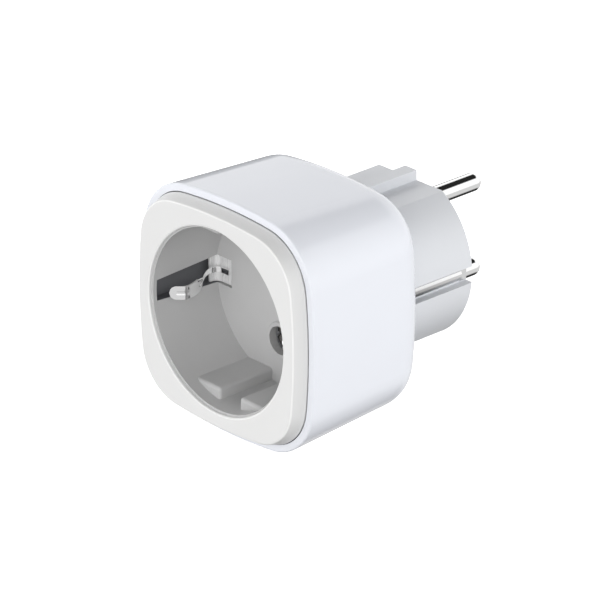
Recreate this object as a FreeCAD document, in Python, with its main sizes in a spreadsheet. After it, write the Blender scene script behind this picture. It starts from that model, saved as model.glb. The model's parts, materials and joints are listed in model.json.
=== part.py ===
import FreeCAD, Part
import Sketcher
import math, os

# Plug-in power meter: a square-shouldered adapter with a recessed earthed
# socket in its front and a round earthed plug on its back.
#
# Frame: origin at the centre of the plug's contact face, +Y out along the
# pins, +Z up, +X to the right seen from the socket side.  Every sketch uses
# "depth", the distance back from the front face (front face = 0), and each
# sub-part's Placement shifts it by -body_depth so that the plug's contact
# face lands on Y = 0.

V = FreeCAD.Vector
C = Sketcher.Constraint
doc = FreeCAD.newDocument("PlugInPowerMeter")
sheet = doc.addObject("Spreadsheet::Sheet", "Dims")

ROWS = [
    # overall stations, measured back from the front face
    ("body_depth", 53.8), ("seam_depth", 3.3), ("shell_back", 36.0), ("pin_len", 19.2),
    # squared-off round outline: eight tangent arcs, shared by every rim
    ("corner_centre", 11.3), ("corner_less", 11.9), ("side_more", 94.8),
    # outer shell
    ("shell_front_half", 25.6), ("shell_back_half", 23.75), ("shell_wall", 1.6),
    ("lip_round", 0.4), ("back_round", 6.9), ("back_wall", 1.8),
    ("collar_front", 32.9), ("collar_rad", 20.6), ("nose_hole_rad", 18.45),
    # front cover
    ("face_half", 22.9), ("flare_half", 23.88), ("cover_plate", 1.8), ("skirt_half", 23.55),
    ("skirt_depth", 6.0), ("skirt_inner", 22.35), ("rim_rad", 19.9), ("rim_round", 0.4),
    ("rim_lip", 0.9), ("seat_rad", 21.4), ("face_round", 0.45), ("lug_out", 0.4), ("lug_len", 6.0),
    # socket recess
    ("recess_rad", 19.5), ("recess_floor_rad", 19.5), ("floor_depth", 18.0), ("floor_wall", 1.2),
    ("cup_rad", 21.2), ("flange_rad", 22.1), ("flange_front", 1.9), ("flange_wall", 1.5),
    ("key_flat", 16.7), ("key_start", 3.8), ("key_inner", 2.9), ("key_outer", 12.0), ("key_round", 0.7),
    ("slot_front", 1.8), ("slot_half_front", 2.3), ("slot_half_back", 3.15), ("slot_reach", 15.0),
    ("pocket_half", 3.9), ("pocket_out", 22.2), ("pocket_in", 21.6),
    ("pitch_half", 9.5), ("entry_rad", 3.05), ("boss_rad", 3.95), ("boss_rise", 0.6),
    ("shroud_rad", 4.3), ("carrier_half", 5.2), ("carrier_tall", 13.85), ("carrier_wall", 1.0), ("shroud_bore", 3.7), ("shroud_back", 26.5),
    # screws and their bosses
    ("screw_x", 12.0), ("screw_rad", 1.5), ("screw_clear", 1.75), ("screw_pilot", 1.55),
    ("screw_head_rad", 2.75), ("head_sink_rad", 3.0), ("head_sink", 2.4), ("head_len", 1.8),
    ("screw_tip", 22.6), ("front_boss_rad", 2.7), ("back_boss_rad", 2.4),
    # plug housing
    ("nose_rad", 18.2), ("nose_edge", 0.3), ("nose_flat", 15.6), ("key_rib_half", 1.65), ("key_rib_top", 17.8),
    ("groove_half", 1.8), ("groove_bed", 16.2), ("nose_bore", 14.5), ("end_wall", 2.5),
    ("housing_flange_rad", 20.1), ("housing_flange_front", 31.3), ("housing_flange_wall", 1.5),
    # pins
    ("pin_rad", 2.0), ("pin_root_rad", 1.8), ("pin_relief_rad", 2.45), ("pin_relief", 0.5), ("pin_collar_rad", 2.9), ("pin_collar", 1.2), ("pin_tail_rad", 1.2),
    ("pin_tail", 6.0), ("pin_tip_round", 1.92),
    # circuit board
    ("board_front", 27.0), ("board_wall", 1.6), ("board_half", 21.5),
    # earth metal
    ("clip_wide", 3.2), ("clip_neck", 1.4), ("metal", 0.6), ("ring_in", 14.9), ("ring_out", 17.5),
    ("strip_bed", 16.25), ("strip_wall", 0.9), ("strip_half", 1.4), ("strip_end", 51.8),
    # button
    ("button_depth", 23.4), ("button_long", 12.0), ("button_wide", 5.0), ("button_gap", 0.18),
    ("button_travel", 0.5), ("led_z", 10.2), ("pipe_rad", 1.1),
    # relay
    ("relay_long", 18.4), ("relay_wide", 9.8), ("relay_tall", 15.0), ("relay_wall", 0.6),
]
for i, (alias, value) in enumerate(ROWS):
    sheet.set("A%d" % (i + 1), alias)
    sheet.set("B%d" % (i + 1), str(value))
    sheet.setAlias("B%d" % (i + 1), alias)
doc.recompute()

NODES = []          # (object, node name) in the order they are exported


def full(e):
    """Expression text with the sheet's name put before each alias."""
    e = str(e)
    for alias in sorted((r[0] for r in ROWS), key=len, reverse=True):
        out, k = "", 0
        while True:
            j = e.find(alias, k)
            if j < 0:
                out += e[k:]
                break
            before = e[j - 1] if j else " "
            after = e[j + len(alias)] if j + len(alias) < len(e) else " "
            whole = not (before.isalnum() or before in "_.") and not (after.isalnum() or after == "_")
            out += e[k:j] + ("Dims." + alias if whole else alias)
            k = j + len(alias)
        e = out
    return e


def val(e):
    if isinstance(e, (int, float)):
        return float(e)
    r = sheet.evalExpression(full(e))
    return float(getattr(r, "Value", r))


def bind(obj, prop, e):
    obj.setExpression(prop, full(e))


def body(label):
    b = doc.addObject("PartDesign::Body", label)
    b.Label = label
    return b


def node(obj, label, depth_shift=True):
    """Registers obj as the sub-part called label and shifts it to the row frame."""
    obj.Label = label
    if depth_shift:
        bind(obj, "Placement.Base.y", "-body_depth")
    NODES.append((obj, label))
    return obj


def plane(b, role):
    return [f for f in b.Origin.OriginFeatures if f.Role == role][0]


def sketch(b, name, role, off=0, x=0, y=0, turn=None):
    s = b.newObject("Sketcher::SketchObject", name)
    s.AttachmentSupport = [(plane(b, role), "")]
    s.MapMode = "FlatFace"
    if turn is not None:
        s.AttachmentOffset = FreeCAD.Placement(V(0, 0, 0), FreeCAD.Rotation(turn[0], turn[1]))
    for axis, e in (("x", x), ("y", y), ("z", off)):
        if e != 0:
            bind(s, "AttachmentOffset.Base." + axis, e)
    return s


def fix(s, con, e):
    i = s.addConstraint(con)
    bind(s, "Constraints[%d]" % i, e)
    return i


def at(s, geo, pos, x, y):
    """Pins one point of a sketch by its two distances from the sketch origin."""
    for kind, e in (("DistanceX", x), ("DistanceY", y)):
        v = val(e)
        if abs(v) < 1e-9:
            s.addConstraint(C("PointOnObject", geo, pos, -2 if kind == "DistanceX" else -1))
        elif v > 0:
            fix(s, C(kind, -1, 1, geo, pos, v), e)
        else:
            fix(s, C(kind, geo, pos, -1, 1, -v), "-(%s)" % e)


def polygon(s, pts):
    """A closed polygon; every corner is pinned by expressions of the sheet."""
    base = s.GeometryCount
    n = len(pts)
    pv = [V(val(x), val(y), 0) for x, y in pts]
    s.addGeometry([Part.LineSegment(pv[k], pv[(k + 1) % n]) for k in range(n)], False)
    s.addConstraint([C("Coincident", base + k, 2, base + (k + 1) % n, 1) for k in range(n)])
    for k, (x, y) in enumerate(pts):
        at(s, base + k, 1, x, y)
    return s


def box2(s, x0, y0, x1, y1):
    return polygon(s, [(x0, y0), (x1, y0), (x1, y1), (x0, y1)])


def circle(s, x, y, r):
    g = s.addGeometry(Part.Circle(V(val(x), val(y), 0), V(0, 0, 1), val(r)), False)
    at(s, g, 3, x, y)
    fix(s, C("Radius", g, val(r)), r)
    return s


def squircle(s, a):
    """Eight tangent arcs of half-width a: four flat sides, four round corners."""
    c, av = val("corner_centre"), val(a)
    rc, rs = av - val("corner_less"), av + val("side_more")
    o = av - rs
    th = math.atan2(c, c - o)
    q = math.pi / 2
    arcs = []
    for k, (cx, cy) in enumerate([(o, 0), (c, c), (0, o), (-c, c), (-o, 0), (-c, -c), (0, -o), (c, -c)]):
        if k % 2 == 0:
            t0, t1, r = k / 2 * q - th, k / 2 * q + th, rs
        else:
            t0, t1, r = (k - 1) / 2 * q + th, (k + 1) / 2 * q - th, rc
        arcs.append(Part.ArcOfCircle(Part.Circle(V(cx, cy, 0), V(0, 0, 1), r), t0, t1))
    b0 = s.GeometryCount
    s.addGeometry(arcs, False)
    s.addConstraint([C("Tangent", b0 + k, 2, b0 + (k + 1) % 8, 1) for k in range(8)])
    for k, sx, sy in ((1, "", ""), (3, "-", ""), (5, "-", "-"), (7, "", "-")):
        at(s, b0 + k, 3, sx + "corner_centre", sy + "corner_centre")
    fix(s, C("Radius", b0 + 1, rc), "%s - corner_less" % a)
    for k in (3, 5, 7):
        s.addConstraint(C("Equal", b0 + 1, b0 + k))
    fix(s, C("Radius", b0, rs), "%s + side_more" % a)
    for k in (2, 4, 6):
        s.addConstraint(C("Equal", b0, b0 + k))
    return s


def back_to(b, name, depth):
    """A sketch on the plane at that depth behind the front face (x across, z up)."""
    return sketch(b, name, "XZ_Plane", "-(%s)" % depth)


def grow(b, name, s, length, backwards=True, kind="PartDesign::Pad"):
    """Pads a depth sketch towards the pins (or the front)."""
    f = b.newObject(kind, name)
    f.Profile = s
    bind(f, "Length", length)
    # an XZ sketch looks to the front, so a pad towards the pins is reversed,
    # and a pocket, which runs against its sketch's normal, isn't
    f.Reversed = backwards if kind.endswith("Pad") else not backwards
    b.Tip = f
    doc.recompute()
    return f


def carve(b, name, s, length, backwards=True):
    before = b.Shape.Volume
    f = grow(b, name, s, length, backwards, "PartDesign::Pocket")
    if b.Shape.isNull() or b.Shape.Volume > before - 1e-3:
        raise RuntimeError("%s cuts nothing: %s -> %s" % (name, before, b.Shape.Volume))
    return f


def lathe(b, name, pts, cut=False, angle=360):
    """Revolves a polygon of (radius, depth) points about the long axis."""
    s = sketch(b, name + "_profile", "XY_Plane")
    polygon(s, pts)
    f = b.newObject("PartDesign::Groove" if cut else "PartDesign::Revolution", name)
    f.Profile = s
    f.ReferenceAxis = (s, ["V_Axis"])
    f.Angle = angle
    b.Tip = f
    doc.recompute()
    return f


def wedge_form(b, tag, front, back, a_front, a_back, r_front, r_back, cut=False):
    """A solid (or cavity) whose every cross-section is the shared eight-arc
    outline.  Its side is one tapering line, a_front wide at `front` and a_back
    wide at `back`, rounded off by r_front and r_back.  It is a square core plus
    one corner and one side, each turned about its own arc centre, four times."""
    sk = back_to(b, tag + "_core_outline", front)
    box2(sk, "-corner_centre", "-corner_centre", "corner_centre", "corner_centre")
    if cut:
        carve(b, tag + "_core", sk, "(%s) - (%s)" % (back, front))
    else:
        grow(b, tag + "_core", sk, "(%s) - (%s)" % (back, front))
    th = "atan(corner_centre / (corner_centre + side_more))"
    for which in ("corner", "side"):
        if which == "corner":
            s = sketch(b, tag + "_corner_profile", "XY_Plane", "corner_centre", "corner_centre",
                       turn=(V(0, 1, 0), -45))
            shift, inner = "- corner_less", "0"
        else:
            s = sketch(b, tag + "_side_profile", "XY_Plane", 0, "-side_more")
            shift, inner = "+ side_more", "corner_centre + side_more - 1"
        x0, y0, y1 = val(inner), val(front), val(back)
        af, ab = val("%s %s" % (a_front, shift)), val("%s %s" % (a_back, shift))
        rf, rb = val(r_front), val(r_back)
        d = V(ab - af, y1 - y0, 0)
        d.normalize()
        nrm = V(d.y, -d.x, 0)

        def line_at(yy):
            return V(af + (ab - af) * (yy - y0) / (y1 - y0), yy, 0)
        pts_front = V(af, y0, 0)
        geo, names = [], []
        # arc centres: inside the line by r and inside the end plane by r
        if rf > 0:
            cy = y0 + rf
            base = line_at(cy) - nrm * rf
            # slide along the line until the centre's height is exactly y0 + rf
            k = (cy - base.y) / d.y
            cf = base + d * k
            tf = cf + nrm * rf
            pf = V(cf.x, y0, 0)
        else:
            tf = pf = pts_front
        cy = y1 - rb
        base = line_at(cy) - nrm * rb
        k = (cy - base.y) / d.y
        cb = base + d * k
        tb = cb + nrm * rb
        pb = V(cb.x, y1, 0)
        g = []
        g.append(Part.LineSegment(V(x0, y0, 0), pf))                                  # 0 front end
        if rf > 0:
            a0 = -math.pi / 2
            a1 = math.atan2(tf.y - cf.y, tf.x - cf.x)
            g.append(Part.ArcOfCircle(Part.Circle(cf, V(0, 0, 1), rf), a0, a1))       # front round
        g.append(Part.LineSegment(tf, tb))                                            # flank
        a0 = math.atan2(tb.y - cb.y, tb.x - cb.x)
        g.append(Part.ArcOfCircle(Part.Circle(cb, V(0, 0, 1), rb), a0, math.pi / 2))  # back round
        g.append(Part.LineSegment(pb, V(x0, y1, 0)))                                  # back end
        g.append(Part.LineSegment(V(x0, y1, 0), V(x0, y0, 0)))                        # inner edge
        s.addGeometry(g, False)
        n = len(g)
        flank = 2 if rf > 0 else 1
        bk = flank + 1
        con = []
        if rf > 0:
            con += [C("Tangent", 0, 2, 1, 1), C("Tangent", 1, 2, 2, 1)]
        else:
            con += [C("Coincident", 0, 2, 1, 1)]
        con += [C("Tangent", flank, 2, bk, 1), C("Tangent", bk, 2, bk + 1, 1),
                C("Coincident", bk + 1, 2, bk + 2, 1), C("Coincident", bk + 2, 2, 0, 1),
                C("Horizontal", bk + 1), C("Vertical", bk + 2)]
        if rf > 0:
            con.append(C("Horizontal", 0))
        s.addConstraint(con)
        at(s, 0, 1, inner, front)
        fix(s, C("DistanceY", -1, 1, bk + 2, 1, y1), back)
        if rf > 0:
            fix(s, C("Radius", 1, rf), r_front)
        fix(s, C("Radius", bk, rb), r_back)
        # two guide points fix the flank's line
        p0 = s.addGeometry(Part.Point(V(af, y0, 0)), True)
        p1 = s.addGeometry(Part.Point(V(ab, y1, 0)), True)
        at(s, p0, 1, "%s %s" % (a_front, shift), front)
        at(s, p1, 1, "%s %s" % (a_back, shift), back)
        if rf > 0:
            s.addConstraint(C("PointOnObject", p0, 1, flank))
        else:
            s.addConstraint(C("Coincident", p0, 1, flank, 1))
        s.addConstraint(C("PointOnObject", p1, 1, flank))
        f = b.newObject("PartDesign::Groove" if cut else "PartDesign::Revolution", tag + "_" + which)
        f.Profile = s
        f.ReferenceAxis = (s, ["V_Axis"])
        f.Midplane = True
        bind(f, "Angle", ("90 deg - 2 * %s" % th) if which == "corner" else ("2 * %s" % th))
        b.Tip = f
        doc.recompute()
        p = b.newObject("PartDesign::PolarPattern", tag + "_" + which + "_x4")
        p.Originals = [f]
        p.Axis = (plane_axis(b), [""])
        p.Angle = 360
        p.Occurrences = 4
        b.Tip = p
        doc.recompute()


def plane_axis(b):
    return [f for f in b.Origin.OriginFeatures if f.Role == "Y_Axis"][0]


def edges_where(shape, test):
    out = []
    for i, e in enumerate(shape.Edges):
        if e.Length > 1e-6 and all(test(p) for p in e.discretize(7)):
            out.append("Edge%d" % (i + 1))
    return out


def soften(b, name, test, r, kind="PartDesign::Fillet"):
    base = b.Tip
    es = edges_where(base.Shape, test)
    if not es:
        raise RuntimeError(name + ": no edges")
    f = b.newObject(kind, name)
    f.Base = (base, es)
    bind(f, "Radius" if kind.endswith("Fillet") else "Size", r)
    b.Tip = f
    doc.recompute()
    if "Invalid" in f.State or f.Shape.isNull() or not f.Shape.isValid():
        raise RuntimeError("%s failed on %s" % (name, es))
    return f


def near(a, b, tol=2e-3):
    return abs(a - b) < tol


# ---------------------------------------------------------------- outer shell
# One-piece sleeve: rounded lip, gently tapering sides, rounded back with a
# round hole for the plug, an inner collar round that hole, an opening for the
# button and one for the light pipe in its left side.
b = body("outer_shell")
wedge_form(b, "form", "seam_depth", "shell_back", "shell_front_half", "shell_back_half", "lip_round", "back_round")
wedge_form(b, "cavity", "seam_depth - 0.5", "shell_back - back_wall", "shell_front_half - shell_wall",
           "shell_back_half - shell_wall - 0.1", 0, "back_round - shell_wall", cut=True)
s = back_to(b, "collar_outline", "collar_front")
circle(s, 0, 0, "collar_rad")
grow(b, "collar", s, "shell_back - collar_front - 1")
s = back_to(b, "nose_hole_outline", "collar_front - 1")
circle(s, 0, 0, "nose_hole_rad")
carve(b, "nose_hole", s, "shell_back - collar_front + 3")
# snap windows for the front cover's four lugs, blind grooves in the wall
s = back_to(b, "lug_groove_outline", "4.5")
box2(s, "-(skirt_half + lug_out + 0.15)", "-(lug_len / 2 + 0.3)", "skirt_half + lug_out + 0.15", "lug_len / 2 + 0.3")
carve(b, "lug_grooves_sides", s, "1.3")
s = back_to(b, "lug_groove_outline_2", "4.5")
box2(s, "-(lug_len / 2 + 0.3)", "-(skirt_half + lug_out + 0.15)", "lug_len / 2 + 0.3", "skirt_half + lug_out + 0.15")
carve(b, "lug_grooves_top_bottom", s, "1.3")


def obround(s, x, y, long, wide):
    """A slot with round ends, long in the sketch's second axis."""
    cx, cy, L, W = val(x), val(y), val(long), val(wide)
    r, h = W / 2, (L - W) / 2
    b0 = s.GeometryCount
    s.addGeometry([
        Part.ArcOfCircle(Part.Circle(V(cx, cy + h, 0), V(0, 0, 1), r), 0, math.pi),
        Part.LineSegment(V(cx - r, cy + h, 0), V(cx - r, cy - h, 0)),
        Part.ArcOfCircle(Part.Circle(V(cx, cy - h, 0), V(0, 0, 1), r), math.pi, 2 * math.pi),
        Part.LineSegment(V(cx + r, cy - h, 0), V(cx + r, cy + h, 0))], False)
    s.addConstraint([C("Tangent", b0, 2, b0 + 1, 1), C("Tangent", b0 + 1, 2, b0 + 2, 1),
                     C("Tangent", b0 + 2, 2, b0 + 3, 1), C("Tangent", b0 + 3, 2, b0, 1)])
    at(s, b0, 3, x, "(%s) + ((%s) - (%s)) / 2" % (y, long, wide))
    at(s, b0 + 2, 3, x, "(%s) - ((%s) - (%s)) / 2" % (y, long, wide))
    fix(s, C("Radius", b0, r), "(%s) / 2" % wide)
    return s


def side_sketch(b, name, x):
    """A sketch square to the X axis at that x: first axis depth, second axis up."""
    return sketch(b, name, "YZ_Plane", x)


s = side_sketch(b, "button_hole_outline", "-30")
obround(s, "button_depth", 0, "button_long", "button_wide")
f = b.newObject("PartDesign::Pocket", "button_hole")
f.Profile = s
f.Length = 9
f.Reversed = True
b.Tip = f
doc.recompute()
s = side_sketch(b, "light_hole_outline", "-30")
circle(s, "button_depth", "led_z", "pipe_rad + 0.05")
f = b.newObject("PartDesign::Pocket", "light_hole")
f.Profile = s
f.Length = 9
f.Reversed = True
b.Tip = f
doc.recompute()
node(b, "outer_shell")

# ---------------------------------------------------------------- front cover
# Flat squared-off face with a large round opening, flared edge, a skirt that
# slides into the shell and four snap lugs.
b = body("front_cover")
wedge_form(b, "plate", "0", "seam_depth", "face_half", "flare_half", "face_round", "0.2")
s = back_to(b, "skirt_outline", "seam_depth - 0.5")
squircle(s, "skirt_half")
grow(b, "skirt", s, "skirt_depth - seam_depth + 0.5")
s = back_to(b, "inside_outline", "cover_plate")
squircle(s, "skirt_inner")
carve(b, "inside", s, "skirt_depth")
s = back_to(b, "opening_outline", "-1")
circle(s, 0, 0, "rim_rad")
carve(b, "opening", s, "4")
s = back_to(b, "seat_outline", "rim_lip")
circle(s, 0, 0, "seat_rad")
carve(b, "seat", s, "3")
for tag, horiz in (("sides", True), ("top_bottom", False)):
    s = back_to(b, "lugs_%s_outline" % tag, "4.7")
    for sg in ("", "-"):
        x0, x1, y0, y1 = sg + "(skirt_half - 0.8)", sg + "(skirt_half + lug_out)", "-lug_len / 2", "lug_len / 2"
        if horiz:
            polygon(s, [(x0, y0), (x1, y0), (x1, y1), (x0, y1)])
        else:
            polygon(s, [(y0, x0), (y1, x0), (y1, x1), (y0, x1)])
    grow(b, "lugs_" + tag, s, "0.9")
soften(b, "rim_fillet", lambda p: near(p.y, 0) and near(math.hypot(p.x, p.z), val("rim_rad")), "rim_round")
node(b, "front_cover")

# -------------------------------------------------------------- socket recess
# Round cup for the mating plug: keyed ribs at top and bottom, a slot with a
# closed pocket behind it for each earth clip, two pin entries with raised
# bosses, and two screw bosses behind the floor.
b = body("socket_insert")
lathe(b, "cup", [("recess_rad", "rim_lip"), ("recess_floor_rad", "floor_depth"), (0, "floor_depth"),
                 (0, "floor_depth + floor_wall"), ("cup_rad", "floor_depth + floor_wall"),
                 ("cup_rad", "flange_front + flange_wall"), ("flange_rad", "flange_front + flange_wall"),
                 ("flange_rad", "flange_front"), ("cup_rad", "flange_front"), ("cup_rad", "rim_lip")])
s = back_to(b, "pocket_outline", "flange_front")
for sg in ("", "-"):
    polygon(s, [(sg + "20.4", "-pocket_half"), (sg + "pocket_out", "-pocket_half"),
                (sg + "pocket_out", "pocket_half"), (sg + "20.4", "pocket_half")])
grow(b, "clip_pockets", s, "floor_depth + floor_wall - flange_front")
s = back_to(b, "key_outline", "key_start")
for sx in ("", "-"):
    for sz in ("", "-"):
        polygon(s, [(sx + "key_inner", sz + "key_flat"), (sx + "11.4", sz + "key_flat"),
                    (sx + "7.5", sz + "18.9"), (sx + "key_inner", sz + "20.1")])
grow(b, "key_ribs", s, "floor_depth + 0.5 - key_start")
KI, KF, KS = val("key_inner"), val("key_flat"), val("key_start")


def key_edge(p):
    ax, az = abs(p.x), abs(p.z)
    on = (near(ax, KI) and near(az, KF)) or (near(p.y, KS) and near(az, KF)) or (near(p.y, KS) and near(ax, KI))
    return on and p.y < val("floor_depth") + 1e-3 and az > KF - 0.01


soften(b, "key_fillets", key_edge, "key_round")
for tag, sg, rev in (("right", "", False), ("left", "-", True)):
    s = side_sketch(b, "slot_outline_" + tag, sg + "slot_reach")
    polygon(s, [("slot_front", "-slot_half_front"), ("floor_depth + floor_wall + 0.2", "-slot_half_back"),
                ("floor_depth + floor_wall + 0.2", "slot_half_back"), ("slot_front", "slot_half_front")])
    before = b.Shape.Volume
    f = b.newObject("PartDesign::Pocket", "slot_" + tag)
    f.Profile = s
    bind(f, "Length", "pocket_in - slot_reach")
    f.Reversed = not rev
    b.Tip = f
    doc.recompute()
    if b.Shape.Volume > before - 1:
        raise RuntimeError("slot cuts nothing")
s = back_to(b, "entry_boss_outline", "floor_depth - boss_rise")
for sz in ("", "-"):
    circle(s, 0, sz + "pitch_half", "boss_rad")
grow(b, "entry_bosses", s, "boss_rise + 0.4")
soften(b, "entry_boss_fillet",
       lambda p: near(p.y, val("floor_depth - boss_rise")) and near(math.hypot(p.x, abs(p.z) - val("pitch_half")), val("boss_rad")),
       "0.35")
s = back_to(b, "screw_boss_outline", "floor_depth + floor_wall - 0.4")
for sx in ("", "-"):
    circle(s, sx + "screw_x", 0, "front_boss_rad")
grow(b, "screw_bosses", s, "board_front - floor_depth - floor_wall + 0.4")
s = back_to(b, "entry_outline", "floor_depth - 2")
for sz in ("", "-"):
    circle(s, 0, sz + "pitch_half", "entry_rad")
carve(b, "pin_entries", s, "5")
s = back_to(b, "pilot_outline", "screw_tip - 0.6")
for sx in ("", "-"):
    circle(s, sx + "screw_x", 0, "screw_pilot")
carve(b, "screw_pilots", s, "8")
node(b, "socket_insert")

# ------------------------------------------------------------ contact carrier
# A plate against the back of the recess floor, with a shroud round each
# contact sleeve that keeps it in line with its pin entry.
b = body("contact_carrier")
s = back_to(b, "plate_outline", "floor_depth + floor_wall")
box2(s, "-carrier_half", "-carrier_tall", "carrier_half", "carrier_tall")
grow(b, "plate", s, "carrier_wall")
s = back_to(b, "shroud_outline", "floor_depth + floor_wall + carrier_wall / 2")
for sz in ("", "-"):
    circle(s, 0, sz + "pitch_half", "shroud_rad")
grow(b, "shrouds", s, "shroud_back - floor_depth - floor_wall - carrier_wall / 2")
s = back_to(b, "shroud_bore_outline", "floor_depth + floor_wall - 1")
for sz in ("", "-"):
    circle(s, 0, sz + "pitch_half", "shroud_bore")
carve(b, "shroud_bores", s, "12")
node(b, "contact_carrier")

# --------------------------------------------------------------- plug housing
# Round plug body with a flat and a key rib at top and bottom and an earth
# groove down each side, standing on a flange that is trapped inside the shell.
b = body("plug_housing")
lathe(b, "nose", [("nose_bore", "housing_flange_front"), ("housing_flange_rad", "housing_flange_front"),
                  ("housing_flange_rad", "housing_flange_front + housing_flange_wall"),
                  ("nose_rad", "housing_flange_front + housing_flange_wall"), ("nose_rad", "body_depth"),
                  (0, "body_depth"), (0, "body_depth - end_wall"), ("nose_bore", "body_depth - end_wall")])
s = back_to(b, "flats_outline", "shell_back")
for sz in ("", "-"):
    polygon(s, [("-12", sz + "nose_flat"), ("-key_rib_half", sz + "nose_flat"), ("-key_rib_half", sz + "key_rib_top"),
                ("key_rib_half", sz + "key_rib_top"), ("key_rib_half", sz + "nose_flat"), ("12", sz + "nose_flat"),
                ("12", sz + "20"), ("-12", sz + "20")])
carve(b, "flats", s, "30")
s = back_to(b, "groove_outline", "shell_back")
for sx in ("", "-"):
    polygon(s, [(sx + "groove_bed", "-groove_half"), (sx + "20", "-groove_half"), (sx + "20", "groove_half"),
                (sx + "groove_bed", "groove_half")])
carve(b, "earth_grooves", s, "30")
s = back_to(b, "strip_slot_outline", "housing_flange_front - 0.5")
for sx in ("", "-"):
    polygon(s, [(sx + "groove_bed", "-groove_half"), (sx + "(groove_bed + 1.1)", "-groove_half"),
                (sx + "(groove_bed + 1.1)", "groove_half"), (sx + "groove_bed", "groove_half")])
carve(b, "strip_slots", s, "shell_back - housing_flange_front + 0.6")
s = back_to(b, "column_outline", "board_front + board_wall")
for sx in ("", "-"):
    circle(s, sx + "screw_x", 0, "back_boss_rad")
grow(b, "screw_columns", s, "body_depth - 1 - board_front - board_wall")
s = back_to(b, "seat_outline", "body_depth - end_wall - 2.2")
for sx in ("", "-"):
    circle(s, sx + "screw_x", 0, "3.9")
grow(b, "screw_seats", s, "3")
s = back_to(b, "screw_hole_outline", "board_front")
for sx in ("", "-"):
    circle(s, sx + "screw_x", 0, "screw_clear")
carve(b, "screw_holes", s, "40")
s = back_to(b, "sink_outline", "body_depth - head_sink")
for sx in ("", "-"):
    circle(s, sx + "screw_x", 0, "head_sink_rad")
carve(b, "screw_sinks", s, "5")
s = back_to(b, "pin_hole_outline", "body_depth - end_wall - 1")
for sz in ("", "-"):
    circle(s, 0, sz + "pitch_half", "pin_root_rad + 0.02")
carve(b, "pin_holes", s, "6")
s = back_to(b, "pin_relief_outline", "body_depth - pin_relief")
for sz in ("", "-"):
    circle(s, 0, sz + "pitch_half", "pin_relief_rad")
carve(b, "pin_reliefs", s, "3")
NR = val("nose_rad")
soften(b, "nose_edge", lambda p: near(p.y, val("body_depth")) and near(math.hypot(p.x, p.z), NR), "nose_edge")
node(b, "plug_housing")

# ----------------------------------------------------------------------- pins
# Solid pins turned from rod: rounded tip, collar behind the end wall, and a
# tail that is riveted into its busbar.
for label, sz in (("line_pin", ""), ("neutral_pin", "-")):
    b = body(label)
    s = sketch(b, "profile", "XY_Plane", sz + "pitch_half")
    y0 = "(body_depth - end_wall)"
    polygon(s, [(0, y0 + " - pin_collar - pin_tail"), ("pin_tail_rad", y0 + " - pin_collar - pin_tail"),
                ("pin_tail_rad", y0 + " - pin_collar"), ("pin_collar_rad", y0 + " - pin_collar"), ("pin_collar_rad", y0),
                ("pin_root_rad", y0), ("pin_root_rad", "body_depth"), ("pin_rad", "body_depth"),
                ("pin_rad", "body_depth + pin_len"), (0, "body_depth + pin_len")])
    f = b.newObject("PartDesign::Revolution", "turned")
    f.Profile = s
    f.ReferenceAxis = (s, ["V_Axis"])
    f.Angle = 360
    b.Tip = f
    doc.recompute()
    soften(b, "tip", lambda p: near(p.y, val("body_depth + pin_len")), "pin_tip_round")
    node(b, label)

# ------------------------------------------------------- contacts for the load
# Slotted spring sleeves that grip the mating plug's pins.
for label, sz in (("contact_line", ""), ("contact_neutral", "-")):
    b = body(label)
    s = sketch(b, "profile", "XY_Plane", sz + "pitch_half")
    polygon(s, [("2.65", "19.7"), ("3.1", "19.7"), ("3.1", "board_front + board_wall"), ("3.9", "board_front + board_wall"),
                ("3.9", "board_front + board_wall + metal"), ("3.1", "board_front + board_wall + metal"), ("3.1", "36.4"),
                ("2.05", "36.4"), ("2.05", "20.9")])
    f = b.newObject("PartDesign::Revolution", "sleeve")
    f.Profile = s
    f.ReferenceAxis = (s, ["V_Axis"])
    f.Angle = 360
    b.Tip = f
    doc.recompute()
    s = back_to(b, "slit_outline", "19")
    polygon(s, [("-4", sz + "pitch_half - 0.4"), ("4", sz + "pitch_half - 0.4"), ("4", sz + "pitch_half + 0.4"),
                ("-4", sz + "pitch_half + 0.4")])
    carve(b, "slit", s, "8")
    node(b, label)

# -------------------------------------------------------------- circuit board
b = body("main_board")
s = back_to(b, "outline", "board_front")
squircle(s, "board_half")
for sz in ("", "-"):
    circle(s, 0, sz + "pitch_half", "3.3")
for sx in ("", "-"):
    circle(s, sx + "screw_x", 0, "screw_clear")
    polygon(s, [(sx + "16", "-2"), (sx + "17.5", "-2"), (sx + "17.5", "2"), (sx + "16", "2")])
grow(b, "laminate", s, "board_wall")
node(b, "main_board")

# ------------------------------------------------------------------ earth metal
# Each front clip is one bent strip: a foot on the recess floor, a leg up the
# wall behind the slot, and a tongue that bows into the recess.
CLIP = [(18.9, 18.7), (19.6, 15.6), (18.3, 13.3), (16.4, 10.9), (15.1, 8.6), (14.7, 6.6), (15.2, 4.9), (17.2, 2.7)]
T = 0.55


def offset_line(pts, t):
    """Points of the same path moved t to its left."""
    out = []
    for i, (x, y) in enumerate(pts):
        a = pts[max(i - 1, 0)]
        c = pts[min(i + 1, len(pts) - 1)]
        dx, dy = c[0] - a[0], c[1] - a[1]
        L = math.hypot(dx, dy)
        out.append((round(x - dy / L * t, 3), round(y + dx / L * t, 3)))
    return out


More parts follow.
